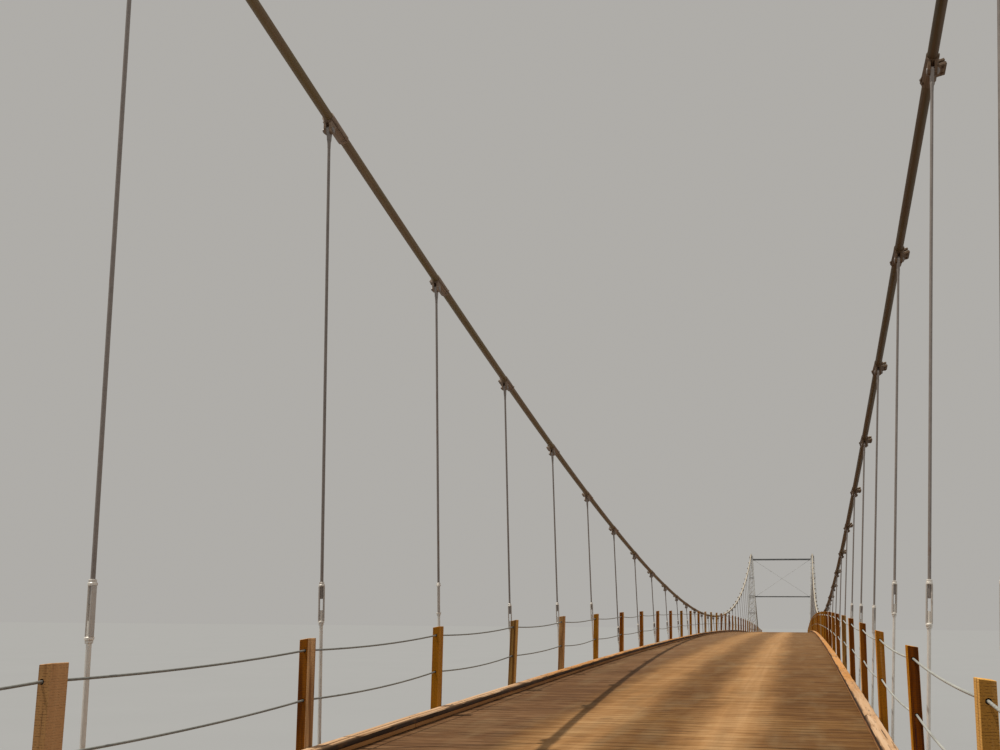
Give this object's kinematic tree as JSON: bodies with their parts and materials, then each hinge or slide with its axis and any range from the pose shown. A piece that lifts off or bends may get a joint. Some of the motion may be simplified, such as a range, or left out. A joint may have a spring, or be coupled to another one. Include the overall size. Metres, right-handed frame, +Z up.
{
  "type": "scale model of a suspension bridge, 1 to 10",
  "caption": "Scale model of a single-lane suspension bridge: plank deck on timber and steel framing, hung by rods from cables over lattice towers, with wire rope railings.",
  "frame": {"origin": "middle of the whole bridge at ground level, straight under mid-span", "axes": "+Y along the bridge to its north end, +X across it to the east side, +Z up"},
  "size_m": [0.8796, 14.385, 1.7022],
  "materials": {
    "cable_steel": "weathered wrapped wire, rust streaked",
    "galvanised_steel": "dull galvanised",
    "tower_steel": "grey paint, matt",
    "plank_timber": "worn, unpainted",
    "framing_timber": "dark, treated",
    "kerb_timber": "weathered, unpainted",
    "post_timber": "treated, unpainted",
    "concrete": "board-marked concrete"
  },
  "bodies": {
    "root": {"west_main_cable": "cable_steel", "west_railing": "post_timber", "west_kerb": "kerb_timber", "east_main_cable": "cable_steel", "east_railing": "post_timber", "east_kerb": "kerb_timber", "deck_planks_1": "plank_timber", "floor_framing_1": "framing_timber", "deck_planks_2": "plank_timber", "floor_framing_2": "framing_timber", "deck_planks_3": "plank_timber", "floor_framing_3": "framing_timber", "deck_planks_4": "plank_timber", "floor_framing_4": "framing_timber", "deck_planks_5": "plank_timber", "floor_framing_5": "framing_timber", "south_approach_planks": "plank_timber", "south_approach_framing": "framing_timber", "south_portal_bracing": "tower_steel", "south_transom": "tower_steel", "south_pier": "concrete", "south_abutment": "concrete", "south_west_tower_leg": "tower_steel", "south_west_saddle": "galvanised_steel", "south_west_wing_wall": "concrete", "south_west_anchorage": "concrete", "south_east_tower_leg": "tower_steel", "south_east_saddle": "galvanised_steel", "south_east_wing_wall": "concrete", "south_east_anchorage": "concrete", "north_approach_planks": "plank_timber", "north_approach_framing": "framing_timber", "north_portal_bracing": "tower_steel", "north_transom": "tower_steel", "north_pier": "concrete", "north_abutment": "concrete", "north_west_tower_leg": "tower_steel", "north_west_saddle": "galvanised_steel", "north_west_wing_wall": "concrete", "north_west_anchorage": "concrete", "north_east_tower_leg": "tower_steel", "north_east_saddle": "galvanised_steel", "north_east_wing_wall": "concrete", "north_east_anchorage": "concrete"}
  },
  "joints": []
}
